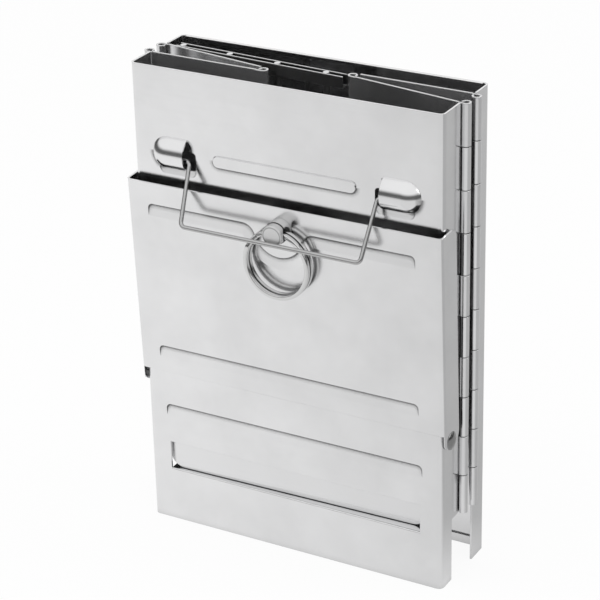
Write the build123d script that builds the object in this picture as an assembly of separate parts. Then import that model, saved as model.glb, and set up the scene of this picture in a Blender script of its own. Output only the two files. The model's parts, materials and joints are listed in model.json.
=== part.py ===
from build123d import *
from math import asin, cos, degrees, dist, radians, sin, sqrt
import os

# Folding camping wood stove of sheet steel, standing folded flat. Millimetres.
# +X to the right, +Y to the back, +Z up. The origin is the middle of the back
# panel's bottom edge, half way through its sheet.

# Body
stove_width = 140.0
stove_height = 209.0
sheet = 0.8
bend = 2.4
front_flange = 17.0
rear_flange = 14.5
hem_height = 4.0

# Piano hinges
pin_radius = 1.2
pin_fit = 0.05
pin_recess = 3.0
knuckle_count = 10
knuckle_gap = 0.35
hinge_clearance = 0.45
seam_start = 20.0

# Fold: the half leaves' pitch and how far each leans from the panels when folded
leaf_pitch = 54.0
flat_lean = 0.8
steep_lean = 9.2

# Front panel
foot_height = 29.0
foot_flange = 9.2
groove_side = 9.0
groove_height = 5.4
groove_depth = 0.6
groove_wall = 0.4
groove_corner = 2.2
groove_top = 56.3
window_side = 10.0
window_bottom = 25.0
window_height = 13.0
lip_depth = 6.5
lip_bend = 0.7
feed_side = 7.0
feed_corner = 5.0
feed_lap = 3.8
feed_lap_top = 3.5
rib_width = 65.0
rib_height = 5.2
rib_drop = 36.2
rib_depth = 0.7
slope = 18.0

# Louvers that hold the bail
louver_side = 25.6
louver_length = 17.0
louver_radius = 7.7
louver_set_back = 3.2
louver_drop = 36.3
louver_lip_drop = 5.4
louver_band = 3.0
louver_band_depth = 0.35
louver_band_short = 3.5
louver_hole_reach = 3.8
louver_hole_rise = 1.8
louver_hole_corner = 1.5

# Door
door_overhang = 1.7
door_bottom = 72.7
door_top_gap = 6.8
door_flange = 13.0
door_bend = 2.0
door_gap = 0.15
door_lean = 2.5
door_corner = 4.0
door_pivot_back = 5.0
door_pivot_drop = 4.4
door_groove_rise = 12.5
door_groove_drop = 0.2
door_groove_shift = -0.9
dip_radius = 11.0
dip_shoulder = 6.0
dip_drop = 1.9

# Door rivets
rivet_radius = 1.6
rivet_head = 3.9
rivet_dome = 1.3
rivet_tail = 2.6
rivet_tail_height = 0.9
washer_radius = 3.2
washer_play = 0.05

# Knob and split ring
knob_offset = 0.7
knob_drop = 9.1
knob_radius = 4.5
knob_flare = 4.8
knob_length = 7.6
knob_groove = 0.4
knob_groove_at = 4.1
knob_edge = 0.5
knob_hole = 2.9
knob_hole_at = 3.1
knob_shank = 2.0
knob_washer_radius = 4.0
knob_tail = 0.7
ring_radius = 15.0
ring_thickness = 1.9
ring_strand = 2.1
ring_gap = 0.45
ring_step = 30.0
ring_lift = 0.32

# Bail
wire = 0.9
bail_pivot_front = 1.4
bail_pivot_drop = 1.5
bail_end_reach = 12.6
bail_shoulder_step = 1.8
bail_leg_step = 3.6
bail_leg = 26.4
bail_bend = 2.2
bail_rest_gap = 0.3

# Loose pieces stowed inside
ledge_depth = 9.6
ledge_leg = 6.0
hearth_side = 9.0
hearth_length = 136.6
hearth_corner = 6.5
hearth_front = 1.7
hearth_turn = 1.25
seat_gap = 0.3
grid_top_gap = 0.3
grid_room = 6.0
grid_rail = 3.8
grid_rail_wall = 0.6
grid_rail_depth = 5.0
grid_rod = 1.3
grid_rods = 4
grid_rod_left = 2.3
grid_rod_right = 8.7
grid_left = 5.0
grid_turn = 3.6
grid_lean = 1.6
grid_back = 31.5

# Widths that follow: the openings, the louvers, the bail and the stowed pieces keep their
# distance from the side flanges
groove_width = stove_width - 2 * groove_side
window_width = stove_width - 2 * window_side
feed_width = stove_width - 2 * feed_side
louver_inner = stove_width / 2 - louver_side
louver_hole_inner = louver_inner - louver_hole_reach
bail_end = louver_inner + bail_end_reach
bail_shoulder = louver_inner - bail_shoulder_step
bail_half = louver_inner - bail_leg_step
hearth_width = stove_width - 2 * hearth_side
ledge_width = hearth_width
grid_width = stove_width - leaf_pitch - grid_room
grid_rod_pitch = (grid_width - grid_rod_left - grid_rod_right) / (grid_rods - 1)

# Heights that follow: the louvers hang from the top edge, and the door, its opening and
# the knob with the groove round it hang from the louvers
hinge_bottom = foot_height
rib_centre = stove_height - rib_drop
louver_centre = stove_height - louver_drop
louver_lip = louver_centre - louver_lip_drop
louver_hole_top = louver_centre + louver_hole_rise
bail_pivot_height = louver_centre - bail_pivot_drop
door_top = louver_lip - door_top_gap
door_pivot_height = door_bottom - door_pivot_drop
feed_bottom = door_bottom + feed_lap
feed_top = door_top - feed_lap_top
knob_height = door_top - knob_drop
door_groove_low = door_bottom + door_groove_rise
door_groove_top = knob_height - door_groove_drop
dip_height = knob_height - dip_drop
grid_length = stove_height - window_bottom - seat_gap - grid_top_gap

# Sizes that follow
roll_in = pin_radius + pin_fit
roll_out = roll_in + sheet
flat_edge = roll_out + hinge_clearance
pin_x = stove_width / 2 - sheet + roll_out
knuckle = (stove_height - hinge_bottom) / knuckle_count
rear_pin_y = sheet / 2 - rear_flange
shift_x = leaf_pitch * (cos(radians(steep_lean)) - cos(radians(flat_lean)))
shift_y = leaf_pitch * (sin(radians(flat_lean)) - sin(radians(steep_lean)))
front_x = shift_x
front_pin_y = rear_pin_y + shift_y
front_y = front_pin_y - front_flange
flat_x = leaf_pitch * cos(radians(flat_lean))
flat_y = leaf_pitch * sin(radians(flat_lean))
steep_x = leaf_pitch * cos(radians(steep_lean))
steep_y = leaf_pitch * sin(radians(steep_lean))
right_rear = (pin_x, rear_pin_y)
left_rear = (-pin_x, rear_pin_y)
right_centre = (pin_x - flat_x, rear_pin_y + flat_y)
left_centre = (-pin_x + steep_x, rear_pin_y - steep_y)
right_front = (front_x + pin_x, front_pin_y)
left_front = (front_x - pin_x, front_pin_y)
back_inner_y = -sheet / 2


def block(x0, x1, y0, y1, z0, z1):
    """A box between two corners."""
    size = (x1 - x0, y1 - y0, z1 - z0)
    centre = ((x0 + x1) / 2, (y0 + y1) / 2, (z0 + z1) / 2)
    return Pos(*centre) * Box(*size)


def tray_section(depth):
    """The U that a panel and its two side flanges make, seen from above, face on y = 0."""
    outer = Pos(0, depth / 2) * Rectangle(stove_width, depth)
    outer = fillet(outer.vertices().group_by(Axis.Y)[0], bend)
    inner = Pos(0, depth / 2 + sheet) * Rectangle(stove_width - 2 * sheet, depth)
    inner = fillet(inner.vertices().group_by(Axis.Y)[0], bend - sheet)
    return outer - inner


def knuckle_section():
    """One rolled knuckle round the pin at the origin, with the sheet leaving along +X on its +Y side."""
    roll = Circle(roll_out) - Circle(roll_in)
    reach = 2 * roll_out
    opening = Polyline(
        (0, 0),
        (reach * cos(radians(seam_start)), reach * sin(radians(seam_start))),
        (reach, reach),
        (0, reach),
        close=True,
    )
    roll = roll - make_face(opening)
    sheet_end = Pos(flat_edge / 2, roll_out - sheet / 2) * Rectangle(flat_edge, sheet)
    return roll + sheet_end


def knuckles(first):
    """Every second knuckle of a hinge, counted from the top, on a pin at the origin."""
    section = knuckle_section()
    rolls = []
    for place in range(first, knuckle_count, 2):
        top = stove_height - place * knuckle
        foot = top - knuckle + knuckle_gap / 2
        rolls.append(extrude(Pos(0, 0, foot) * section, knuckle - knuckle_gap))
    return rolls


def at_pin(shape, pin, direction, flip):
    """Turns a shape built on a pin at the origin to its pin, with its sheet along a direction in degrees."""
    placed = mirror(shape, about=Plane.XZ) if flip else shape
    return Pos(pin[0], pin[1], 0) * Rot(0, 0, direction) * placed


def hinge_side(pin, direction, flip, first):
    """The knuckles that a panel's flange carries on one pin."""
    return [at_pin(roll, pin, direction, flip) for roll in knuckles(first)]


def leaf(centre_first):
    """A half leaf from its panel pin at the origin to its centre pin along +X."""
    flat = block(
        flat_edge,
        leaf_pitch - flat_edge,
        roll_out - sheet,
        roll_out,
        hinge_bottom,
        stove_height,
    )
    panel_end = knuckles(0)
    centre_end = [
        Pos(leaf_pitch, 0, 0) * mirror(roll, about=Plane.YZ)
        for roll in knuckles(centre_first)
    ]
    return flat + panel_end + centre_end


def hinge_pin(place):
    """A plain pin, short of its top knuckle's open end."""
    length = stove_height - pin_recess - hinge_bottom
    return Pos(place[0], place[1], hinge_bottom + length / 2) * Cylinder(pin_radius, length)


def back_panel():
    """The rear tray with its hemmed edges and its halves of the two rear hinges."""
    section = Rot(0, 0, 180) * tray_section(rear_flange - flat_edge)
    panel = Pos(0, sheet / 2, 0) * extrude(section, stove_height)
    half = stove_width / 2 - bend
    for low in (0, stove_height - hem_height):
        panel = panel + block(
            -half, half, back_inner_y - sheet, back_inner_y, low, low + hem_height
        )
    panel = panel + hinge_side(right_rear, 90, False, 1)
    return panel + hinge_side(left_rear, 90, True, 1)


def upright_outline(width, low, high, corner):
    """A rounded rectangle on the front face, as a face that looks forward."""
    plane = Plane(origin=(0, 0, (low + high) / 2), x_dir=(1, 0, 0), z_dir=(0, -1, 0))
    return plane * RectangleRounded(width, high - low, corner)


def groove_section(x, z, direction):
    """The section of a pressed groove below its upper edge: a steep wall, then a long slope back out."""
    plane = Plane(origin=(x, 0, z), x_dir=(0, 1, 0), z_dir=(direction, 0, 0))
    drop = groove_height * direction
    outline = Polyline((0, 0), (groove_depth, -groove_wall * direction), (0, -drop), close=True)
    return plane * make_face(outline)


def groove(path, left, right, top):
    """The body pressed in by a groove whose upper edge is a path, with rounded upper corners."""
    body = sweep(groove_section(left, top, 1), path=path)
    for x, direction in ((left, -1), (right, 1)):
        run_out = extrude(groove_section(x, top, direction), groove_corner)
        corner = Cylinder(groove_corner, 4 * sheet, rotation=(90, 0, 0))
        below = Box(2 * groove_corner, 4 * sheet, groove_height)
        corner = corner + Pos(0, 0, -groove_height / 2) * below
        body = body + (run_out & Pos(x, 0, top - groove_corner) * corner)
    return body


def straight_groove(top, shift):
    """A long straight groove."""
    half = groove_width / 2 - groove_corner
    left, right = shift - half, shift + half
    return groove(Line((left, 0, top), (right, 0, top)), left, right, top)


def pressed_in(panel, body):
    """Presses a body back into a sheet whose front is y = 0 and carries the sheet round it."""
    return panel + Pos(0, sheet, 0) * body - body


def louver(side):
    """A hood pressed out of the front face, its hollow, the band pressed in below it and the hole behind."""
    start = louver_inner
    full = louver_length - louver_radius

    def capsule(radius, stretch):
        plane = Plane(
            origin=(start, louver_set_back, louver_centre), x_dir=(1, 0, 0), z_dir=(0, 0, 1)
        )
        outline = Rectangle(full + stretch, radius, align=(Align.MIN, Align.MIN))
        outline = outline.moved(Location((-stretch, 0)))
        end = Pos(full, 0) * Circle(radius)
        quarter = Rectangle(radius, radius, align=(Align.MIN, Align.MIN))
        outline = outline + (end & quarter.moved(Location((full, 0))))
        axis = Axis((start, louver_set_back, louver_centre), (1, 0, 0))
        return revolve(plane * outline, axis, 360)

    before = block(
        start - 1, start + louver_length + 1, -louver_radius, sheet,
        louver_lip, louver_centre + louver_radius,
    )
    hood = capsule(louver_radius, 0) & before
    hollow = capsule(louver_radius - sheet, sheet)
    rim = sqrt((louver_radius - sheet) ** 2 - louver_set_back**2)
    top = louver_centre - rim
    low = top - louver_band
    outer = start + louver_length - louver_band_short
    section = Polyline((0, low), (louver_band_depth, top + sheet), (0, top + sheet), close=True)
    side_plane = Plane(origin=(louver_hole_inner, 0, 0), x_dir=(0, 1, 0), z_dir=(1, 0, 0))
    band = extrude(side_plane * make_face(section), outer - louver_hole_inner)
    corner = louver_band - 0.1
    outline = upright_outline(outer - louver_hole_inner, low, low + 3 * louver_band, corner)
    middle = (louver_hole_inner + outer) / 2
    band = band & extrude(Pos(middle, 0, 0) * outline, amount=sheet, dir=(0, 1, 0))
    hole = upright_outline(
        2 * (start - louver_hole_inner), top, louver_hole_top, louver_hole_corner
    )
    hole = extrude(Pos(start, 0, 0) * hole, amount=2 * sheet, dir=(0, 1, 0))
    pieces = [hood, hollow, band, hole]
    if side < 0:
        pieces = [mirror(piece, about=Plane.YZ) for piece in pieces]
    return pieces


def front_panel():
    """The front tray: feet, feed opening, air window with its lip, pressings, louvers and hinges."""
    panel = extrude(tray_section(front_flange - flat_edge), stove_height)
    width = 2 * stove_width
    foot_cut = block(-width, width, foot_flange, front_flange, 0, foot_height)
    panel = panel - foot_cut

    panel = pressed_in(panel, straight_groove(groove_top, 0))
    half = window_width / 2
    sill = window_bottom - sheet
    window = block(-half, half, -1, 2 * sheet, sill, window_bottom + window_height)
    lip = block(-half, half, 0, lip_depth, sill, window_bottom)
    lip_front = lip.edges().filter_by(Axis.X).group_by(Axis.Y)[0].sort_by(Axis.Z)[-1]
    panel = panel - window + fillet(lip_front, lip_bend)

    feed = upright_outline(feed_width, feed_bottom, feed_top, feed_corner)
    panel = panel - extrude(feed, amount=2 * sheet, dir=(0, 1, 0))

    rib_low = rib_centre - rib_height / 2
    rib = upright_outline(rib_width, rib_low, rib_low + rib_height, rib_height / 2 - 0.01)
    inner = upright_outline(
        rib_width - 2 * sheet, rib_low + sheet, rib_low + rib_height - sheet,
        rib_height / 2 - sheet - 0.01,
    )
    panel = panel + extrude(rib, amount=rib_depth, dir=(0, -1, 0), taper=slope)
    rib_back = extrude(Pos(0, sheet, 0) * inner, amount=rib_depth, dir=(0, -1, 0))
    panel = panel - rib_back

    for side in (-1, 1):
        hood, hollow, band, hole = louver(side)
        panel = pressed_in(panel, band) + hood - hollow - hole
        rivet_hole = Cylinder(rivet_radius, 4 * sheet, rotation=(0, 90, 0))
        place = Pos(side * stove_width / 2, door_pivot_back, door_pivot_height)
        panel = panel - place * rivet_hole

    panel = Pos(front_x, front_y, 0) * panel
    panel = panel + hinge_side(right_front, -90, True, 1)
    return panel + hinge_side(left_front, -90, False, 1)


def door_side():
    """The outline of the door's flange, seen from the side: rounded foot, eased rear top corner."""
    foot_radius = door_flange / 2
    front = -door_gap - sheet
    rear = front + door_flange
    foot_centre = door_bottom - 2.0
    outline = Polyline((rear, foot_centre), (rear, door_top), (front, door_top), (front, foot_centre))
    foot = RadiusArc((front, foot_centre), (rear, foot_centre), -foot_radius)
    face = make_face([outline, foot])
    corner = face.vertices().sort_by(Axis.Y)[-2:].sort_by(Axis.X)[-1]
    return fillet(corner, door_corner)


def door_shell():
    """The door shut against the front panel, whose face is y = 0."""
    half = stove_width / 2 + door_overhang
    front = -door_gap - sheet
    middle = front + door_flange / 2
    height = stove_height
    outer = Pos(0, middle) * Rectangle(2 * half, door_flange)
    outer = fillet(outer.vertices().group_by(Axis.Y)[0], door_bend)
    inner = Pos(0, middle + sheet) * Rectangle(2 * half - 2 * sheet, door_flange)
    inner = fillet(inner.vertices().group_by(Axis.Y)[0], door_bend - sheet)
    tray = extrude(outer - inner, height)
    side_plane = Plane(origin=(-2 * half, 0, 0), x_dir=(0, 1, 0), z_dir=(1, 0, 0))
    tray = tray & extrude(side_plane * door_side(), 4 * half)
    inside = half - sheet
    below = block(-inside, inside, front - 1, front + 2 * door_bend, 0, door_bottom)
    return tray - below


def dipped_groove():
    """The door's upper groove, which dips round under the knob."""
    half = groove_width / 2 - groove_corner
    middle = door_groove_shift
    rise = door_groove_top - dip_shoulder - dip_height
    reach = sqrt((dip_radius + dip_shoulder) ** 2 - rise**2)
    blend = dip_radius / (dip_radius + dip_shoulder)
    side = reach * blend
    low = dip_height + rise * blend
    left, right = middle - half, middle + half
    top = door_groove_top
    start = Line((left, 0, top), (middle - reach, 0, top))
    down = TangentArc((middle - reach, 0, top), (middle - side, 0, low), tangent=(1, 0, 0))
    dip = ThreePointArc(
        (middle - side, 0, low), (middle, 0, dip_height - dip_radius), (middle + side, 0, low)
    )
    up = TangentArc((middle + side, 0, low), (middle + reach, 0, top), tangent=dip % 1)
    end = Line((middle + reach, 0, top), (right, 0, top))
    return groove(Wire([start, down, dip, up, end]), left, right, top)


def door_frame(shape):
    """Swings a piece of the shut door to where the door stands ajar, on the front panel."""
    pivot = Pos(front_x, front_y + door_pivot_back, door_pivot_height)
    return pivot * Rot(door_lean, 0, 0) * Pos(0, -door_pivot_back, -door_pivot_height) * shape


def door():
    """The drop-down feed door with its pressed field, pivot holes and knob hole."""
    shell = Pos(0, door_gap + sheet, 0) * door_shell()
    shell = pressed_in(shell, dipped_groove())
    shell = pressed_in(shell, straight_groove(door_groove_low, door_groove_shift))
    shell = Pos(0, -door_gap - sheet, 0) * shell
    pivot_hole = Cylinder(rivet_radius + pin_fit, 4 * stove_width, rotation=(0, 90, 0))
    shell = shell - Pos(0, door_pivot_back, door_pivot_height) * pivot_hole
    knob_hole_cut = Cylinder(knob_shank, 6 * sheet, rotation=(90, 0, 0))
    shell = shell - Pos(knob_offset, -door_gap, knob_height) * knob_hole_cut
    return door_frame(shell)


def door_rivet(side):
    """A domed pivot rivet, headed outside the door and clenched inside the front panel's flange."""
    outer = stove_width / 2 + door_overhang + washer_play
    inner = stove_width / 2 - sheet
    outline = Polyline(
        (0, outer + rivet_dome),
        (0, inner - rivet_tail_height),
        (rivet_tail, inner - rivet_tail_height),
        (rivet_tail, inner),
        (rivet_radius, inner),
        (rivet_radius, outer),
        (rivet_head, outer),
    )
    ball = (rivet_head**2 + rivet_dome**2) / (2 * rivet_dome)
    dome = RadiusArc((0, outer + rivet_dome), (rivet_head, outer), ball)
    rivet = revolve(Plane.XZ * make_face([outline, dome]), Axis.Z, 360)
    rivet = Rot(0, 90, 0) * rivet
    if side < 0:
        rivet = mirror(rivet, about=Plane.YZ)
    return Pos(front_x, front_y + door_pivot_back, door_pivot_height) * rivet


def door_washer(side):
    """The spacer between the door's ear and the front panel's flange."""
    space = door_overhang - sheet
    ring = Cylinder(washer_radius, space - 2 * washer_play, rotation=(0, 90, 0))
    bore = Cylinder(rivet_radius + pin_fit, 2 * space, rotation=(0, 90, 0))
    place = side * (stove_width / 2 + space / 2)
    washer = Pos(place, 0, 0) * (ring - bore)
    return Pos(front_x, front_y + door_pivot_back, door_pivot_height) * washer


def knob():
    """The turned knob with its groove, cross hole and shank through the door."""
    base = -door_gap - sheet
    outline = Polyline(
        (0, 0),
        (knob_flare, 0),
        (knob_flare, knob_groove_at),
        (knob_radius, knob_groove_at),
        (knob_radius, knob_length),
        (0, knob_length),
        close=True,
    )
    body = revolve(Plane.XZ * make_face(outline), Axis.Z, 360)
    body = fillet(body.edges().filter_by(GeomType.CIRCLE).sort_by(Axis.Z)[-1], knob_edge)
    groove = Cylinder(2 * knob_radius, knob_groove) - Cylinder(
        knob_radius - knob_groove, 2 * knob_groove
    )
    hole = Cylinder(knob_hole, 4 * knob_radius, rotation=(0, 90, 0))
    body = body - Pos(0, 0, knob_groove_at) * groove - Pos(0, 0, knob_hole_at) * hole
    length = 2 * sheet + knob_tail
    shank = Pos(0, 0, -length / 2) * Cylinder(knob_shank, length)
    body = body + shank
    return door_frame(Pos(knob_offset, base, knob_height) * Rot(90, 0, 0) * body)


def knob_washer():
    """The washer that the knob's shank is clenched over, behind the door."""
    place = Pos(knob_offset, -door_gap + sheet / 2, knob_height)
    washer = Cylinder(knob_washer_radius, sheet) - Cylinder(knob_shank, 2 * sheet)
    return door_frame(place * Rot(90, 0, 0) * washer)


def ring_centre():
    """Where the split ring's hole axis lies on the leaning door."""
    depth = door_gap + sheet + knob_hole_at + door_pivot_back
    rise = knob_height - door_pivot_height
    lean = radians(door_lean)
    y = -depth * cos(lean) - rise * sin(lean)
    z = rise * cos(lean) - depth * sin(lean)
    return (front_x + knob_offset, front_y + door_pivot_back + y, door_pivot_height + z)


def ring_place(angle):
    """How far the split ring's strand lies along its axis at an angle of its two turns."""
    pitch = ring_strand + ring_gap
    full = 360 - ring_step
    part = min(max((angle - full) / ring_step, 0), 1)
    return pitch * (part - 0.5)


def ring_self_gap():
    """The least gap between the ring's two turns, measured between points on its section's corners."""
    sections = []
    for angle in range(0, 720 - int(ring_step) + 1, 3):
        middle = ring_place(angle)
        corners = []
        for radius in (ring_radius - ring_thickness, ring_radius):
            x = radius * cos(radians(angle))
            y = radius * sin(radians(angle))
            corners += [(x, y, middle - ring_strand / 2), (x, y, middle + ring_strand / 2)]
        sections.append(corners)
    apart = 90 // 3
    return min(
        dist(a, b)
        for i, first in enumerate(sections)
        for second in sections[i + apart:]
        for a in first
        for b in second
    )


def split_ring():
    """Two turns of flat wire side by side, joined by one step, hanging from the knob's cross hole."""
    mean = ring_radius - ring_thickness / 2
    full = 360 - ring_step

    def section(angle):
        face = Plane.XZ * (Pos(mean, ring_place(angle)) * Rectangle(ring_thickness, ring_strand))
        return Rot(0, 0, angle) * face

    steps = 3
    coil = revolve(section(0), Axis.Z, full)
    for step in range(steps):
        start = full + ring_step * step / steps
        end = full + ring_step * (step + 1) / steps
        coil = coil + loft([section(start), section(end)], ruled=True)
    coil = coil + revolve(section(360), Axis.Z, full)
    x, y, z = ring_centre()
    turned = Rot(90, 0, 0) * Rot(0, 0, -60) * coil
    return Pos(x, y, z + ring_lift - mean) * turned


def bail_angle():
    """How far the bail hangs out from straight down, so that its bar rests on the knob's end."""
    lean = radians(door_lean)
    depth = door_gap + sheet + knob_length + door_pivot_back
    rise = knob_height - door_pivot_height - knob_radius
    face = depth * cos(lean) + rise * sin(lean) - door_pivot_back
    out = face + 2 * knob_radius * sin(lean) + bail_rest_gap + wire - bail_pivot_front
    return degrees(asin(out / bail_leg))


def bail():
    """The wire bail, sprung into the two louvers and hanging against the knob."""
    path = FilletPolyline(
        (-bail_end, 0, 0),
        (-bail_shoulder, 0, 0),
        (-bail_half, 0, -bail_leg),
        (bail_half, 0, -bail_leg),
        (bail_shoulder, 0, 0),
        (bail_end, 0, 0),
        radius=bail_bend,
    )
    start = Plane(origin=(-bail_end, 0, 0), z_dir=(1, 0, 0))
    wire_body = sweep(start * Circle(wire), path=path)
    place = Pos(front_x, front_y - bail_pivot_front, bail_pivot_height)
    return place * Rot(-bail_angle(), 0, 0) * wire_body


def rear_ledge():
    """The angle strip on the back panel that carries the hearth plate and the stowed grid."""
    half = ledge_width / 2
    top = window_bottom
    shelf = block(-half, half, back_inner_y - ledge_depth, back_inner_y, top - sheet, top)
    leg = block(-half, half, back_inner_y - sheet, back_inner_y, top, top + ledge_leg)
    return shelf + leg


def hearth_plate():
    """The loose floor of the fire, stowed upright behind the front panel on the window's lip."""
    outline = upright_outline(hearth_width, 0, hearth_length, hearth_corner)
    plate = extrude(outline, amount=sheet, dir=(0, 1, 0))
    middle = hearth_front + hearth_width / 2 * sin(radians(hearth_turn))
    place = Pos(front_x, front_y + middle, window_bottom + seat_gap)
    return place * Rot(0, 0, hearth_turn) * plate


def grid_place(shape):
    """Stands a piece of the cooking grid in its stowed place on the rear ledge."""
    centre = (-stove_width / 2 + grid_left + grid_width / 2, front_y + grid_back)
    stand = Pos(centre[0], centre[1], window_bottom + seat_gap)
    return stand * Rot(0, 0, -grid_turn) * Rot(grid_lean, 0, 0) * shape


def grid_rod_places():
    """Rod centres along the rail, from its left end."""
    first = -grid_width / 2 + grid_rod_left
    return [first + place * grid_rod_pitch for place in range(grid_rods)]


def grid_rail_piece(upper):
    """A channel that the rods are set in, open away from the grid."""
    half = grid_width / 2
    side = grid_rail / 2
    rail = block(-half, half, -side, side, 0, grid_rail_depth)
    inner = side - grid_rail_wall
    rail = rail - block(-half, half, -inner, inner, 0, grid_rail_depth - grid_rail_wall)
    for x in grid_rod_places():
        rail = rail - Pos(x, 0, grid_rail_depth) * Cylinder(grid_rod, 2 * grid_rail_depth)
    if upper:
        rail = Pos(0, 0, grid_length) * mirror(rail, about=Plane.XY)
    return grid_place(rail)


def grid_rod_group():
    """The long rods of the cooking grid."""
    rods = []
    for x in grid_rod_places():
        rods.append(Pos(x, 0, grid_length / 2) * Cylinder(grid_rod, grid_length))
    return grid_place(Compound(children=rods))


print(f"split ring: least gap to itself {ring_self_gap():.2f} mm")

parts = {
    "back_panel": back_panel(),
    "front_panel": front_panel(),
    "right_rear_leaf": at_pin(leaf(1), right_rear, 180 - flat_lean, True),
    "right_front_leaf": at_pin(leaf(0), right_front, 180 - steep_lean, False),
    "left_rear_leaf": at_pin(leaf(1), left_rear, -steep_lean, False),
    "left_front_leaf": at_pin(leaf(0), left_front, -flat_lean, True),
    "right_rear_pin": hinge_pin(right_rear),
    "right_centre_pin": hinge_pin(right_centre),
    "right_front_pin": hinge_pin(right_front),
    "left_rear_pin": hinge_pin(left_rear),
    "left_centre_pin": hinge_pin(left_centre),
    "left_front_pin": hinge_pin(left_front),
    "door": door(),
    "door_rivets": Compound(children=[door_rivet(-1), door_rivet(1)]),
    "door_washers": Compound(children=[door_washer(-1), door_washer(1)]),
    "door_knob": knob(),
    "knob_washer": knob_washer(),
    "split_ring": split_ring(),
    "bail": bail(),
    "rear_ledge": rear_ledge(),
    "hearth_plate": hearth_plate(),
    "upper_grid_rail": grid_rail_piece(True),
    "lower_grid_rail": grid_rail_piece(False),
    "grid_rods": grid_rod_group(),
}

os.makedirs("parts", exist_ok=True)
for name, part in parts.items():
    export_step(part, f"parts/{name}.step")
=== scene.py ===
import json
from math import cos, pi, radians, sin

import bmesh
import bpy
from mathutils import Matrix, Vector


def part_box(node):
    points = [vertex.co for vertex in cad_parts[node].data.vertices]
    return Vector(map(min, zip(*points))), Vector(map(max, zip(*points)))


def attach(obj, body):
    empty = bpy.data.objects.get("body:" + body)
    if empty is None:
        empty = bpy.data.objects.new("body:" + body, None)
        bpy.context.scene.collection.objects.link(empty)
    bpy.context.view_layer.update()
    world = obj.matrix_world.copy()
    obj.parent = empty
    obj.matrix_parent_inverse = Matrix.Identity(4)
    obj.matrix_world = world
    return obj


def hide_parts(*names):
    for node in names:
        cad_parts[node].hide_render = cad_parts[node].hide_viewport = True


bl_info = {
    "name": "Folding Wood Stove",
    "version": (1, 0, 0),
    "blender": (4, 5, 0),
    "location": "View3D > Sidebar > Stove",
    "description": "Dresses the folding camping wood stove and sets its studio",
    "category": "Object",
}

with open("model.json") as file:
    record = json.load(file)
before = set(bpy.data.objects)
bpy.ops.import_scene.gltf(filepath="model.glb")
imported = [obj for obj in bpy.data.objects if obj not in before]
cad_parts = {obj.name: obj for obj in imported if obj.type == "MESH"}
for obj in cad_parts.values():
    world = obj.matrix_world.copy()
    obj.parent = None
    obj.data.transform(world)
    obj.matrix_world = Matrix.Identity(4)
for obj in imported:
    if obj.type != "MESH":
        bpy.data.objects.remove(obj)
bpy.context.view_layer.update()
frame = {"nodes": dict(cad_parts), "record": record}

# The door leans forward at rest, and its knob with it.
DOOR_LEAN = radians(2.5)

# Lengths, heights and distances below are in metres.

# Where the painted shade of a dark line along a pressed edge shows: on faces that look
# forward, from above the air window up to the middle of the rib. Each pair goes from no
# line to a full one.
FACING_FORWARD = (-0.4, -0.75)
ABOVE_WINDOW = (0.042, 0.048)
BELOW_RIB_MIDDLE = (0.1731, 0.1725)

# Painted shade on the sides of a piece, so that its upper edges read lighter: from a face
# that counts as a side to one that counts as an upper edge.
FACING_UP = (0.2, 0.7)

# Painted shade in seams and along pressed edges: how open a place is, from fully shaded
# to not shaded, in a seam and at a pressed edge.
CREASE_OPENNESS = (0.15, 0.75)
LINE_OPENNESS = (0.82, 0.99)
OPENNESS_SAMPLES = 8
ROUNDING_SAMPLES = 4

# A painted dark ring on the knob's end, standing in for the shade of its turned edge: how
# far it reaches to either side, from its full shade to none.
PAINTED_RIM_LINE = (0.0001, 0.00028)
PAINTED_RIM_LINE_SHADE = 0.5

# The noises of the grain, the dents and the hazy polish. Nearly all of a noise's values
# lie in its range.
GRAIN_DETAIL = 3.0
DENT_DETAIL = 1.0
HAZE_SCALE = 34.0
HAZE_DETAIL = 5.0
HAZE_ROUGHNESS = 0.6
NOISE_RANGE = (0.25, 0.75)
NOISE_MEAN = 0.5

# The painted reflection of the room in the steel: the paper glows for rays from the
# steel, and these say how far to the stove's right, behind it and away from it that
# painted glow darkens, how high the backdrop's painted glow is bright again, and how high
# a direction looks where the dark band round the horizon ends.
FLOOR_RIGHT = (-0.06, 0.09)
FLOOR_BEHIND = (0.0, 0.06)
FLOOR_AWAY = (0.6, 1.3)
BACKDROP_RISE = (0.2, 0.9)
HORIZON_BAND = (0.12, 0.42)

# The studio's sheet of paper, the lights and what they point at.
PAPER_HALF = 3.0
PAPER_BEND = 1.0
PAPER_BEND_STEPS = 16
PAPER_ROUGHNESS = 0.9
NEAR = 0.01
KEY_PLACE = (-0.3, -0.5, 1.6)
KEY_SIZE = (1.4, 1.4)
FILL_PLACE = (1.3, 0.3, 0.8)
FILL_SIZE = (0.8, 0.8)
LIT_POINT = (0.0, 0.0, 0.1)
WHITE = (1.0, 1.0, 1.0, 1.0)

# The camera: its sensor in millimetres, and the nearest and farthest things it sees.
SENSOR_WIDTH = 36.0
NEAREST = 0.05
FARTHEST = 20.0

# How finely the split ring is wound, and how a new piece's mesh is closed and smoothed.
TURN_STEPS = 110
CROSSING_STEPS = 12
CORNER_STEPS = 4
MERGE_DISTANCE = 1e-7
SMOOTH_BELOW = radians(35)

# The ring's finish is made with the others, and the ring looks it up by this name.
RING_FINISH = "Polished ring"


# Sizes and colours a user would change


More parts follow.
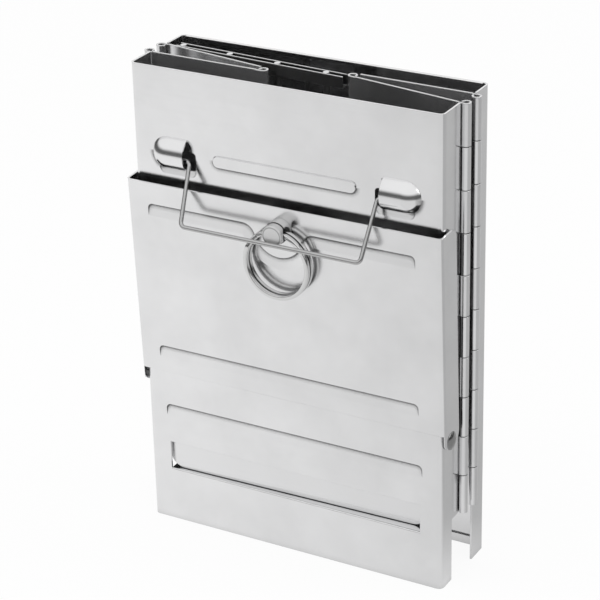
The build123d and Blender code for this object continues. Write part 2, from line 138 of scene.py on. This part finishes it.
class StoveSteelSettings(bpy.types.PropertyGroup):
    """Colours of the steel, piece by piece, and its finest forms"""

    panel: bpy.props.FloatVectorProperty(
        name="Panel steel", description="Colour of the polished panels",
        subtype="COLOR", size=3, min=0.0, max=1.0, default=(0.77, 0.77, 0.775),
    )
    leaf: bpy.props.FloatVectorProperty(
        name="Leaf steel", description="Colour of the folding half leaves",
        subtype="COLOR", size=3, min=0.0, max=1.0, default=(0.72, 0.72, 0.725),
    )
    wire: bpy.props.FloatVectorProperty(
        name="Wire steel", description="Colour of the bail's drawn wire",
        subtype="COLOR", size=3, min=0.0, max=1.0, default=(0.48, 0.48, 0.48),
    )
    turned: bpy.props.FloatVectorProperty(
        name="Turned steel", description="Colour of the knob and the split ring",
        subtype="COLOR", size=3, min=0.0, max=1.0, default=(0.68, 0.68, 0.68),
    )
    rivet: bpy.props.FloatVectorProperty(
        name="Rivet steel", description="Colour of the rivets and washers",
        subtype="COLOR", size=3, min=0.0, max=1.0, default=(0.34, 0.34, 0.34),
    )
    # Painted shade: the radius of a dark ring painted on the knob's end for its turned
    # edge.
    painted_rim_radius: bpy.props.FloatProperty(
        name="Painted rim line", description="Radius of the line turned into the knob's end",
        subtype="DISTANCE", unit="LENGTH", min=0.0, max=0.01, default=0.0038,
    )
    edge_round: bpy.props.FloatProperty(
        name="Edge rounding", description="Radius of the light caught on sheet edges",
        subtype="DISTANCE", unit="LENGTH", min=0.0, max=0.001, default=0.00025,
    )


class StoveRingSettings(bpy.types.PropertyGroup):
    """Sizes of the split ring that hangs in the knob"""

    outer: bpy.props.FloatProperty(
        name="Split ring radius", description="Outside radius of the split ring",
        subtype="DISTANCE", unit="LENGTH", default=0.015,
    )
    depth: bpy.props.FloatProperty(
        name="Ring wire depth", description="Radial thickness of the ring's wire",
        subtype="DISTANCE", unit="LENGTH", default=0.0019,
    )
    strand: bpy.props.FloatProperty(
        name="Ring strand", description="Width of one turn along the ring's axis",
        subtype="DISTANCE", unit="LENGTH", default=0.0021,
    )
    gap: bpy.props.FloatProperty(
        name="Ring gap", description="Space between the ring's two turns",
        subtype="DISTANCE", unit="LENGTH", default=0.00045,
    )
    corner: bpy.props.FloatProperty(
        name="Ring wire corner", description="How far the wire's corners are rounded off",
        subtype="DISTANCE", unit="LENGTH", default=0.00055,
    )
    crossing: bpy.props.FloatProperty(
        name="Ring crossing", description="Part of a turn in which the wire steps over",
        subtype="ANGLE", default=radians(30),
    )
    seam: bpy.props.FloatProperty(
        name="Ring seam", description="Where round the ring its wire starts",
        subtype="ANGLE", default=radians(-125),
    )


class StoveStudioSettings(bpy.types.PropertyGroup):
    """The camera, the lights and the shades of the room"""

    camera_place: bpy.props.FloatVectorProperty(
        name="Camera place", description="Where the camera stands",
        subtype="TRANSLATION", unit="LENGTH", size=3, default=(0.4126, -0.75373, 0.50664),
    )
    yaw: bpy.props.FloatProperty(
        name="Camera yaw", description="Turn of the camera about the vertical",
        subtype="ANGLE", default=radians(29.671),
    )
    pitch: bpy.props.FloatProperty(
        name="Camera pitch", description="Tilt of the camera below the horizon",
        subtype="ANGLE", default=radians(25.219),
    )
    roll: bpy.props.FloatProperty(
        name="Camera roll", description="Roll of the camera about its own axis",
        subtype="ANGLE", default=radians(-1.444),
    )
    lens: bpy.props.FloatProperty(
        name="Lens", description="Focal length in millimetres",
        min=10.0, max=400.0, default=135.19,
    )
    floor_shade: bpy.props.FloatProperty(
        name="Floor shade", description="Paleness of the floor and the backdrop",
        min=0.0, max=1.0, default=0.85,
    )
    floor_glow: bpy.props.FloatProperty(
        name="Floor glow",
        description="How far the floor is lifted to white for the camera",
        min=0.0, max=1.0, default=0.93,
    )
    # The right, rear and backdrop shades below are painted reflections: the paper glows
    # with them only for rays from the steel.
    painted_reflection_right: bpy.props.FloatProperty(
        name="Right floor in the steel",
        description="Shade of the room that the steel's right shows",
        min=0.0, max=1.0, default=0.82,
    )
    painted_reflection_rear: bpy.props.FloatProperty(
        name="Rear floor in the steel",
        description="Shade of the floor that the flanges show",
        min=0.0, max=1.0, default=0.6,
    )
    painted_reflection_backdrop: bpy.props.FloatProperty(
        name="Backdrop in the steel",
        description="Brightness of the backdrop in upper edges",
        min=0.0, max=4.0, default=1.05,
    )
    horizon: bpy.props.FloatProperty(
        name="Horizon in the steel",
        description="Shade of the low dark band that round parts show",
        min=0.0, max=1.0, default=0.12,
    )
    key_power: bpy.props.FloatProperty(
        name="Key light", description="Power of the large overhead light",
        subtype="POWER", unit="POWER", min=0.0, default=9.0,
    )
    fill_power: bpy.props.FloatProperty(
        name="Fill light", description="Power of the side light",
        subtype="POWER", unit="POWER", min=0.0, default=4.0,
    )
    sky_shade: bpy.props.FloatProperty(
        name="Room light", description="Strength of the even light of the room",
        min=0.0, max=1.0, default=0.75,
    )


# Helpers for meshes and node trees


def finished_object(name, mesh_work, body, material):
    """Turns a bmesh into a piece that rides on a body and takes a finish."""
    bmesh.ops.remove_doubles(mesh_work, verts=mesh_work.verts, dist=MERGE_DISTANCE)
    bmesh.ops.recalc_face_normals(mesh_work, faces=mesh_work.faces)
    for face in mesh_work.faces:
        face.smooth = True
    for edge in mesh_work.edges:
        if len(edge.link_faces) == 2 and edge.calc_face_angle() > SMOOTH_BELOW:
            edge.smooth = False
    mesh = bpy.data.meshes.new(name)
    mesh_work.to_mesh(mesh)
    mesh_work.free()
    piece = bpy.data.objects.new(name, mesh)
    bpy.context.scene.collection.objects.link(piece)
    mesh.materials.append(material)
    if body:
        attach(piece, body)
    return piece


def feed(tree, socket, source):
    """Gives an input socket another node's output, or a plain value."""
    if isinstance(source, bpy.types.NodeSocket):
        tree.links.new(source, socket)
    else:
        socket.default_value = source


def number_step(tree, operation, *sources):
    """One step of arithmetic on numbers."""
    node = tree.nodes.new("ShaderNodeMath")
    node.operation = operation
    for socket, source in zip(node.inputs, sources):
        feed(tree, socket, source)
    return node.outputs["Value"]


def vector_step(tree, operation, first, second=None):
    """One step of arithmetic on vectors or colours."""
    node = tree.nodes.new("ShaderNodeVectorMath")
    node.operation = operation
    feed(tree, node.inputs[0], first)
    if second is not None:
        feed(tree, node.inputs["Scale" if operation == "SCALE" else 1], second)
    return node.outputs["Value" if operation in {"LENGTH", "DOT_PRODUCT"} else "Vector"]


def remap(tree, value, span=(0.0, 1.0), start=0.0, end=1.0, smooth=False, clamp=True):
    """Carries a value from start to end while it crosses the span."""
    node = tree.nodes.new("ShaderNodeMapRange")
    node.clamp = clamp
    if smooth:
        node.interpolation_type = "SMOOTHSTEP"
    for label, source in (
        ("Value", value), ("From Min", span[0]), ("From Max", span[1]),
        ("To Min", start), ("To Max", end),
    ):
        feed(tree, node.inputs[label], source)
    return node.outputs["Result"]


def noise(tree, place, scale, detail, roughness=0.5):
    """The value of a noise at a place."""
    node = tree.nodes.new("ShaderNodeTexNoise")
    feed(tree, node.inputs["Vector"], place)
    feed(tree, node.inputs["Scale"], scale)
    node.inputs["Detail"].default_value = detail
    node.inputs["Roughness"].default_value = roughness
    return node.outputs["Fac"]


def parts_of(tree, vector):
    """The X, Y and Z of a vector."""
    node = tree.nodes.new("ShaderNodeSeparateXYZ")
    feed(tree, node.inputs["Vector"], vector)
    return node.outputs


def bump(tree, height, distance, normal):
    """The normal of a surface with a fine relief on it."""
    node = tree.nodes.new("ShaderNodeBump")
    node.inputs["Distance"].default_value = distance
    feed(tree, node.inputs["Height"], height)
    feed(tree, node.inputs["Normal"], normal)
    return node.outputs["Normal"]


# The finish that all steel shares, with painted shade in its colour


def steel_group():
    """Colour, roughness and relief of lightly brushed sheet steel; its colour holds
    painted shade.
    """
    name = "Brushed Sheet"
    if name in bpy.data.node_groups:
        return bpy.data.node_groups[name]
    group = bpy.data.node_groups.new(name, "ShaderNodeTree")
    sockets = group.interface
    sockets.new_socket("Steel Colour", in_out="INPUT", socket_type="NodeSocketColor")
    for label, value in (
        ("Roughness", 0.25), ("Roughness Spread", 0.08), ("Shade Spread", 0.04),
        ("Grain Length", 40.0), ("Grain Fineness", 2500.0), ("Waviness", 12.0),
        ("Crease Reach", 0.006), ("Crease Shade", 0.3), ("Line Reach", 0.0022),
        ("Line Shade", 0.15), ("Side Shade", 1.0), ("Turned Edge", 1.0),
    ):
        socket = sockets.new_socket(label, in_out="INPUT", socket_type="NodeSocketFloat")
        socket.default_value = value
    for label in ("Turning Axis", "Turning Centre"):
        sockets.new_socket(label, in_out="INPUT", socket_type="NodeSocketVector")
    sockets.new_socket("Colour", in_out="OUTPUT", socket_type="NodeSocketColor")
    for label in ("Roughness", "Grain", "Dents"):
        sockets.new_socket(label, in_out="OUTPUT", socket_type="NodeSocketFloat")
    given = group.nodes.new("NodeGroupInput").outputs
    result = group.nodes.new("NodeGroupOutput").inputs
    coordinates = group.nodes.new("ShaderNodeTexCoord").outputs
    place = coordinates["Object"]

    off_centre = vector_step(group, "SUBTRACT", place, given["Turning Centre"])
    across = vector_step(group, "CROSS_PRODUCT", off_centre, given["Turning Axis"])
    radius = vector_step(group, "LENGTH", across)
    grain = brushed_grain(group, given, place, radius)
    haze = noise(group, place, HAZE_SCALE, HAZE_DETAIL, HAZE_ROUGHNESS)

    both = number_step(group, "ADD", grain, haze)
    centred = number_step(group, "SUBTRACT", both, 2 * NOISE_MEAN)
    roughness = number_step(
        group, "MULTIPLY_ADD", centred, given["Roughness Spread"], given["Roughness"]
    )
    feed(group, result["Roughness"], roughness)
    feed(group, result["Grain"], grain)
    feed(group, result["Dents"], noise(group, place, given["Waviness"], DENT_DETAIL))

    cloud = remap(group, haze, NOISE_RANGE, -0.5, 0.5, clamp=False)
    shade = number_step(group, "MULTIPLY_ADD", cloud, given["Shade Spread"], 1.0)
    colour = vector_step(group, "SCALE", given["Steel Colour"], shade)
    normal = parts_of(group, coordinates["Normal"])
    # Painted shade on faces that don't look up.
    painted_side_shade = remap(group, normal["Z"], FACING_UP, given["Side Shade"], 1.0)
    colour = vector_step(group, "SCALE", colour, painted_side_shade)
    # Painted shade: a thin dark ring on the knob's end, for its turned edge.
    off_line = number_step(group, "SUBTRACT", radius, given["Turned Edge"])
    off_line = number_step(group, "ABSOLUTE", off_line)
    painted_rim_line = remap(group, off_line, PAINTED_RIM_LINE, PAINTED_RIM_LINE_SHADE, 1.0)
    colour = vector_step(group, "SCALE", colour, painted_rim_line)
    # Painted shade in seams, corners and deep insides, where other faces close in.
    painted_crease_shade = painted_hollow_shade(
        group, given["Crease Reach"], CREASE_OPENNESS, given["Crease Shade"], False
    )
    colour = vector_step(group, "SCALE", colour, painted_crease_shade)
    # Painted shade: a dark line along pressed edges, where the groove's wall closes in.
    line = painted_hollow_shade(
        group, given["Line Reach"], LINE_OPENNESS,
        painted_pressed_line_shade(group, given, place, normal), True,
    )
    feed(group, result["Colour"], vector_step(group, "SCALE", colour, line))
    return group


def brushed_grain(group, given, place, radius):
    """Fine streaks along the sheet, or rings about a turned piece's axis."""
    stretch = group.nodes.new("ShaderNodeCombineXYZ")
    feed(group, stretch.inputs["X"], given["Grain Length"])
    feed(group, stretch.inputs["Y"], given["Grain Length"])
    feed(group, stretch.inputs["Z"], given["Grain Fineness"])
    streaked = vector_step(group, "MULTIPLY", place, stretch.outputs["Vector"])
    rings = number_step(group, "MULTIPLY", radius, given["Grain Fineness"])
    grained = vector_step(group, "ADD", streaked, rings)
    return noise(group, grained, scale=1.0, detail=GRAIN_DETAIL)


def painted_hollow_shade(group, reach, openness, shade, local):
    """Painted shade on places that other faces close in within reach."""
    hollow = group.nodes.new("ShaderNodeAmbientOcclusion")
    hollow.samples = OPENNESS_SAMPLES
    hollow.only_local = local
    feed(group, hollow.inputs["Distance"], reach)
    return remap(group, hollow.outputs["AO"], openness, shade, 1.0, smooth=True)


def painted_pressed_line_shade(group, given, place, normal):
    """The painted shade of a pressed edge's line, or 1 on faces that show no line."""
    pressed = remap(group, normal["Y"], FACING_FORWARD, smooth=True)
    height = parts_of(group, place)["Z"]
    for span in (ABOVE_WINDOW, BELOW_RIB_MIDDLE):
        pressed = number_step(group, "MULTIPLY", pressed, remap(group, height, span))
    return remap(group, pressed, start=1.0, end=given["Line Shade"])


# The crease, line and side values set painted shade: in seams, along pressed edges and on
# sides.
def steel_material(name, colour, roughness, shade=0.05, grain_length=40.0,
                   fineness=2500.0, grain_height=0.000004, waviness=12.0,
                   dent_height=0.0002, edge_round=None, painted_crease_shade=0.5, line=0.15,
                   side=1.0, metallic=1.0, turned_about=None):
    """A steel finish made of the shared sheet group, fine grain, soft dents and painted
    shade.
    """
    steel = bpy.context.scene.stove_steel
    material = bpy.data.materials.new(name)
    material.use_nodes = True
    tree = material.node_tree
    shader = tree.nodes["Principled BSDF"]
    shader.inputs["Metallic"].default_value = metallic
    group = tree.nodes.new("ShaderNodeGroup")
    group.node_tree = steel_group()
    values = {
        "Steel Colour": (*colour, 1.0),
        "Roughness": roughness,
        "Shade Spread": shade,
        "Grain Length": grain_length,
        "Grain Fineness": fineness,
        "Waviness": waviness,
        "Crease Shade": painted_crease_shade,
        "Line Shade": line,
        "Side Shade": side,
    }
    if turned_about:
        low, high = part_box(turned_about)
        values["Turning Centre"] = (low + high) / 2
        values["Turning Axis"] = (0.0, cos(DOOR_LEAN), sin(DOOR_LEAN))
        values["Turned Edge"] = steel.painted_rim_radius
    for label, value in values.items():
        group.inputs[label].default_value = value
    feed(tree, shader.inputs["Base Color"], group.outputs["Colour"])
    feed(tree, shader.inputs["Roughness"], group.outputs["Roughness"])
    rounded = tree.nodes.new("ShaderNodeBevel")
    rounded.samples = ROUNDING_SAMPLES
    rounded.inputs["Radius"].default_value = (
        steel.edge_round if edge_round is None else edge_round
    )
    dented = bump(tree, group.outputs["Dents"], dent_height, rounded.outputs["Normal"])
    grained = bump(tree, group.outputs["Grain"], grain_height, dented)
    feed(tree, shader.inputs["Normal"], grained)
    return material


# Operators


class STOVE_OT_finishes(bpy.types.Operator):
    """Gives every carried-over node its own steel finish"""

    bl_idname = "stove.finishes"
    bl_label = "Steel Finishes"

    def execute(self, context):
        steel = context.scene.stove_steel
        panel, leaf, wire, turned, rivet = (
            tuple(colour)
            for colour in (steel.panel, steel.leaf, steel.wire, steel.turned, steel.rivet)
        )
        # The crease, line and side values below set painted shade.
        finishes = {
            "panel_steel": steel_material(
                "Polished panel", panel, roughness=0.16, shade=0.13, painted_crease_shade=0.65
            ),
            "door_steel": steel_material(
                "Polished door", panel, roughness=0.19, waviness=9.0, shade=0.13,
                painted_crease_shade=0.65,
            ),
            "leaf_steel": steel_material(
                "Polished leaf", leaf, roughness=0.2, waviness=16.0, painted_crease_shade=0.85,
                line=0.5, edge_round=0.0005, metallic=0.93,
            ),
            "plate_steel": steel_material("Satin hearth plate", panel, roughness=0.2),
            "rivet_steel": steel_material(
                "Rivet steel", rivet, roughness=0.17, dent_height=0.0
            ),
            "knob_steel": steel_material(
                "Turned knob steel", turned, roughness=0.4, grain_length=0.0,
                fineness=4000.0, grain_height=0.00001, dent_height=0.0, painted_crease_shade=0.8,
                edge_round=0.0006, metallic=0.55, turned_about="door_knob",
            ),
            "ring_steel": steel_material(
                RING_FINISH, turned, roughness=0.16, dent_height=0.0,
                grain_height=0.000001,
            ),
            "wire_steel": steel_material(
                "Drawn bail wire", wire, roughness=0.2, dent_height=0.0,
                grain_height=0.000001,
            ),
            "pin_steel": steel_material(
                "Hinge pin steel", leaf, roughness=0.3, dent_height=0.0
            ),
            # The grid's sides take painted shade, so its upper edges read light.
            "grid_steel": steel_material(
                "Grid steel", panel, roughness=0.3, dent_height=0.0, edge_round=0.0006,
                side=0.4,
            ),
        }
        for entry in frame["record"]["subparts"]:
            node = frame["nodes"][entry["node"]]
            finish = finishes[entry["material_slot"]]
            for place in range(len(node.material_slots)):
                node.material_slots[place].material = finish
        return {"FINISHED"}


class STOVE_OT_ring(bpy.types.Operator):
    """Winds the split ring's two turns of rounded wire with the step between them"""

    bl_idname = "stove.split_ring"
    bl_label = "Split Ring"

    def wire_section(self, size):
        """The wire's rounded section, standing where the first turn starts."""
        work = bmesh.new()
        made = bmesh.ops.create_grid(work, x_segments=1, y_segments=1, size=0.5)
        across = Vector((size.depth, size.strand, 1.0))
        bmesh.ops.scale(work, verts=made["verts"], vec=across)
        bmesh.ops.bevel(
            work, geom=list(work.verts), offset=size.corner, affect="VERTICES",
            segments=CORNER_STEPS, profile=0.5, material=-1,
        )
        mean_radius = size.outer - size.depth / 2
        start = Matrix.Translation((mean_radius, -(size.strand + size.gap) / 2, 0.0))
        bmesh.ops.transform(work, matrix=start, verts=work.verts)
        return work

    def execute(self, context):
        size = context.scene.stove_ring
        low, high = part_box("split_ring")
        centre = (low + high) / 2
        pitch = size.strand + size.gap
        work = self.wire_section(size)
        section = list(work.faces) + list(work.edges) + list(work.verts)
        flat_turn = (2 * pi - size.crossing, 0.0, TURN_STEPS)
        step_over = (size.crossing, pitch, CROSSING_STEPS)
        for angle, rise, steps in (flat_turn, step_over, flat_turn):
            swept = bmesh.ops.spin(
                work, geom=section, cent=(0.0, 0.0, 0.0), axis=(0.0, 1.0, 0.0),
                dvec=(0.0, rise / steps, 0.0), angle=angle, steps=steps,
                use_duplicate=False,
            )
            section = swept["geom_last"]
        placed = Matrix.Translation(centre) @ Matrix.Rotation(size.seam, 4, "Y")
        bmesh.ops.transform(work, matrix=placed, verts=work.verts)
        finish = bpy.data.materials[RING_FINISH]
        ring = finished_object("split_ring_wire", work, "ring", finish)
        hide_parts("split_ring")
        return {"FINISHED"}


class STOVE_OT_stage(bpy.types.Operator):
    """Sets the pale floor, the soft lights, the room and the camera"""

    bl_idname = "stove.stage"
    bl_label = "Studio"

    def painted_reflection_shade(self, tree, studio):
        """The painted reflection: the glow that the steel mirrors from each place of the
        paper.
        """
        texture = tree.nodes.new("ShaderNodeTexCoord")
        place = texture.outputs["Object"]
        yaw = studio.yaw
        to_right = vector_step(tree, "DOT_PRODUCT", place, (cos(yaw), -sin(yaw), 0.0))
        to_rear = vector_step(tree, "DOT_PRODUCT", place, (sin(yaw), cos(yaw), 0.0))
        away = vector_step(tree, "LENGTH", place)
        right = remap(tree, to_right, FLOOR_RIGHT, 1.0, studio.painted_reflection_right)
        rear = remap(tree, to_rear, FLOOR_BEHIND, 1.0, studio.painted_reflection_rear)
        far = remap(tree, away, FLOOR_AWAY, 1.0, studio.horizon, smooth=True)
        floor = number_step(tree, "MULTIPLY", right, rear)
        floor = number_step(tree, "MULTIPLY", floor, far)
        height = parts_of(tree, place)["Z"]
        return remap(
            tree, height, BACKDROP_RISE, floor, studio.painted_reflection_backdrop, smooth=True
        )

    def paper_material(self, studio):
        """Pale paper, white to the camera and glowing with a painted reflection for the
        steel.
        """
        shade = studio.floor_shade
        material = bpy.data.materials.new("Studio paper")
        material.use_nodes = True
        tree = material.node_tree
        shader = tree.nodes["Principled BSDF"]
        shader.inputs["Base Color"].default_value = (shade, shade, shade, 1.0)
        shader.inputs["Roughness"].default_value = PAPER_ROUGHNESS
        shader.inputs["Specular IOR Level"].default_value = 0.0
        path = tree.nodes.new("ShaderNodeLightPath").outputs
        mirrored = number_step(
            tree, "MAXIMUM", path["Is Glossy Ray"], path["Is Transmission Ray"]
        )
        seen = number_step(tree, "MAXIMUM", path["Is Camera Ray"], mirrored)
        glow = tree.nodes.new("ShaderNodeEmission")
        glow.inputs["Strength"].default_value = 1.0
        # Painted reflection: for rays from the steel the paper glows in the painted tone.
        tone = remap(tree, mirrored, start=1.0, end=self.painted_reflection_shade(tree, studio))
        feed(tree, glow.inputs["Color"], tone)
        mix = tree.nodes.new("ShaderNodeMixShader")
        share = number_step(tree, "MULTIPLY", seen, studio.floor_glow)
        feed(tree, mix.inputs["Fac"], share)
        feed(tree, mix.inputs[1], shader.outputs["BSDF"])
        feed(tree, mix.inputs[2], glow.outputs["Emission"])
        output = tree.nodes["Material Output"]
        feed(tree, output.inputs["Surface"], mix.outputs["Shader"])
        return material

    def paper(self, studio):
        """The floor, bent up at the back into a backdrop."""
        work = bmesh.new()
        bmesh.ops.create_grid(work, x_segments=1, y_segments=1, size=PAPER_HALF)
        back = [
            edge for edge in work.edges
            if all(abs(vert.co.y - PAPER_HALF) < NEAR for vert in edge.verts)
        ]
        raised = bmesh.ops.extrude_edge_only(work, edges=back)
        upper = [item for item in raised["geom"] if isinstance(item, bmesh.types.BMVert)]
        bmesh.ops.translate(work, verts=upper, vec=Vector((0.0, 0.0, PAPER_HALF)))
        corner = [
            edge for edge in work.edges
            if all(
                abs(vert.co.y - PAPER_HALF) < NEAR and abs(vert.co.z) < NEAR
                for vert in edge.verts
            )
        ]
        bmesh.ops.bevel(
            work, geom=corner, offset=PAPER_BEND, affect="EDGES",
            segments=PAPER_BEND_STEPS, profile=0.5, material=-1,
        )
        return finished_object(
            "studio_floor", work, None, self.paper_material(studio)
        )

    def area_light(self, name, place, size, power):
        """A soft rectangular light that points at the stove."""
        data = bpy.data.lights.new(name, "AREA")
        data.shape = "RECTANGLE"
        data.size, data.size_y = size
        data.energy = power
        lamp = bpy.data.objects.new(name, data)
        bpy.context.scene.collection.objects.link(lamp)
        lamp.location = place
        lamp.rotation_mode = "QUATERNION"
        towards = Vector(LIT_POINT) - Vector(place)
        lamp.rotation_quaternion = towards.to_track_quat("-Z", "Y")
        return lamp

    def room(self, studio):
        """Even light for the stove, white for the camera, a dark horizon in the steel."""
        world = bpy.data.worlds.new("Studio room")
        world.use_nodes = True
        tree = world.node_tree
        path = tree.nodes.new("ShaderNodeLightPath").outputs
        look = tree.nodes.new("ShaderNodeTexCoord").outputs
        rise = parts_of(tree, look["Generated"])["Z"]
        band = remap(tree, rise, HORIZON_BAND, studio.horizon, 1.0, smooth=True)
        lit = remap(tree, path["Is Glossy Ray"], start=studio.sky_shade, end=band)
        shown = number_step(
            tree, "MAXIMUM", path["Is Camera Ray"], path["Is Transmission Ray"]
        )
        glow = tree.nodes["Background"]
        glow.inputs["Color"].default_value = WHITE
        feed(tree, glow.inputs["Strength"], remap(tree, shown, start=lit, end=1.0))
        return world

    def camera(self, studio):
        """The camera, at the photograph's viewing angle."""
        data = bpy.data.cameras.new("Camera")
        data.lens = studio.lens
        data.sensor_width = SENSOR_WIDTH
        data.clip_start = NEAREST
        data.clip_end = FARTHEST
        camera = bpy.data.objects.new("Camera", data)
        bpy.context.scene.collection.objects.link(camera)
        yaw, pitch, roll = studio.yaw, studio.pitch, studio.roll
        ahead = Vector((-sin(yaw) * cos(pitch), cos(yaw) * cos(pitch), -sin(pitch)))
        right = Vector((cos(yaw), sin(yaw), 0.0))
        up = right.cross(ahead)
        rolled_right = right * cos(roll) + up * sin(roll)
        rolled_up = up * cos(roll) - right * sin(roll)
        turn = Matrix((rolled_right, rolled_up, -ahead)).transposed().to_4x4()
        camera.matrix_world = Matrix.Translation(studio.camera_place) @ turn
        return camera

    def execute(self, context):
        studio = context.scene.stove_studio
        scene = context.scene
        paper = self.paper(studio)
        key = self.area_light("Overhead light", KEY_PLACE, KEY_SIZE, studio.key_power)
        key.visible_glossy = False
        self.area_light("Side light", FILL_PLACE, FILL_SIZE, studio.fill_power)
        scene.world = self.room(studio)
        scene.camera = self.camera(studio)
        scene.view_settings.view_transform = "Standard"
        return {"FINISHED"}


class STOVE_PT_panel(bpy.types.Panel):
    """Lists the stove's settings and the steps that dress it"""

    bl_idname = "STOVE_PT_panel"
    bl_label = "Folding Wood Stove"
    bl_space_type = "VIEW_3D"
    bl_region_type = "UI"
    bl_category = "Stove"

    def draw(self, context):
        layout = self.layout
        for name in SETTINGS:
            group = getattr(context.scene, name)
            box = layout.box()
            for setting in group.__annotations__:
                box.prop(group, setting)
        for step in STEPS:
            layout.operator(step.bl_idname)


SETTINGS = {
    "stove_steel": StoveSteelSettings,
    "stove_ring": StoveRingSettings,
    "stove_studio": StoveStudioSettings,
}
STEPS = (STOVE_OT_finishes, STOVE_OT_ring, STOVE_OT_stage)


def register():
    for item in (*SETTINGS.values(), *STEPS, STOVE_PT_panel):
        bpy.utils.register_class(item)
    for name, group in SETTINGS.items():
        setattr(bpy.types.Scene, name, bpy.props.PointerProperty(type=group))


def unregister():
    for name in SETTINGS:
        delattr(bpy.types.Scene, name)
    for item in reversed((*SETTINGS.values(), *STEPS, STOVE_PT_panel)):
        bpy.utils.unregister_class(item)


def main():
    """Dresses the stove step by step."""
    register()
    bpy.ops.stove.finishes()
    bpy.ops.stove.split_ring()
    bpy.ops.stove.stage()


if __name__ == "__main__":
    main()
